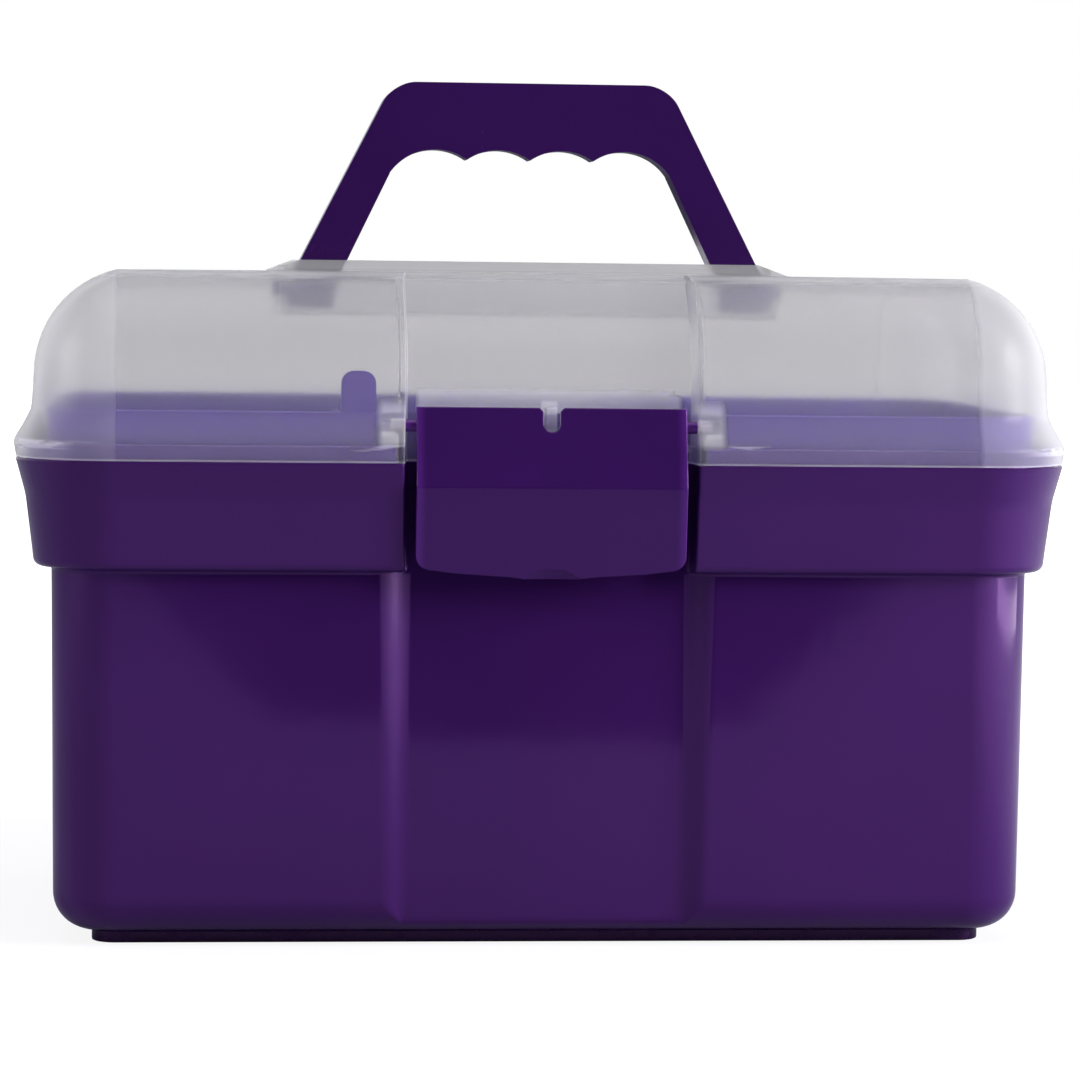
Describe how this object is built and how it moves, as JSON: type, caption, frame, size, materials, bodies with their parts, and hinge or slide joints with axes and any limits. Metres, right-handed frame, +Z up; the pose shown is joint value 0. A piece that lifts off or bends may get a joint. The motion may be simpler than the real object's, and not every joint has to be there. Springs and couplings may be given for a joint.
{
  "type": "grooming box",
  "caption": "Moulded plastic grooming box with a translucent hinged lid, a front snap latch, a folding carry handle and a lift-out tray.",
  "frame": {"origin": "middle of the flat underside of the foot", "axes": "+X to the right, seen from the front; -Y towards the front, where the latch is; +Z up"},
  "size_m": [0.34, 0.215, 0.2794],
  "materials": {
    "purple_gloss": "glossy moulded polypropylene",
    "milky_clear": "milky translucent moulded polypropylene",
    "purple_handle": "satin moulded polypropylene",
    "purple_latch": "glossy moulded polypropylene",
    "purple_tray": "satin moulded polypropylene",
    "pin_steel": "bright steel"
  },
  "bodies": {
    "tub_body": {"tub": "purple_gloss", "hinge_pin_left": "pin_steel", "hinge_pin_right": "pin_steel"},
    "lid_body": {"lid": "milky_clear"},
    "handle_body": {"handle": "purple_handle"},
    "latch_body": {"latch": "purple_latch"},
    "tray_body": {"tray": "purple_tray"}
  },
  "joints": [
    {"name": "lid_hinge", "type": "hinge", "parent": "tub_body", "child": "lid_body", "pos_m": [0, 0.1078, 0.15565], "axis": [-1, 0, 0], "range_deg": [0, 105]},
    {"name": "handle_fold", "type": "hinge", "parent": "lid_body", "child": "handle_body", "pos_m": [0, 0, 0.21071], "axis": [-1, 0, 0], "range_deg": [0, 90]},
    {"name": "latch_pivot", "type": "hinge", "parent": "lid_body", "child": "latch_body", "pos_m": [0, -0.095, 0.1675], "axis": [-1, 0, 0], "range_deg": [0, 75]},
    {"name": "tray_lift", "type": "slide", "parent": "tub_body", "child": "tray_body", "axis": [0, 0, 1], "range_m": [0, 0.01]}
  ]
}
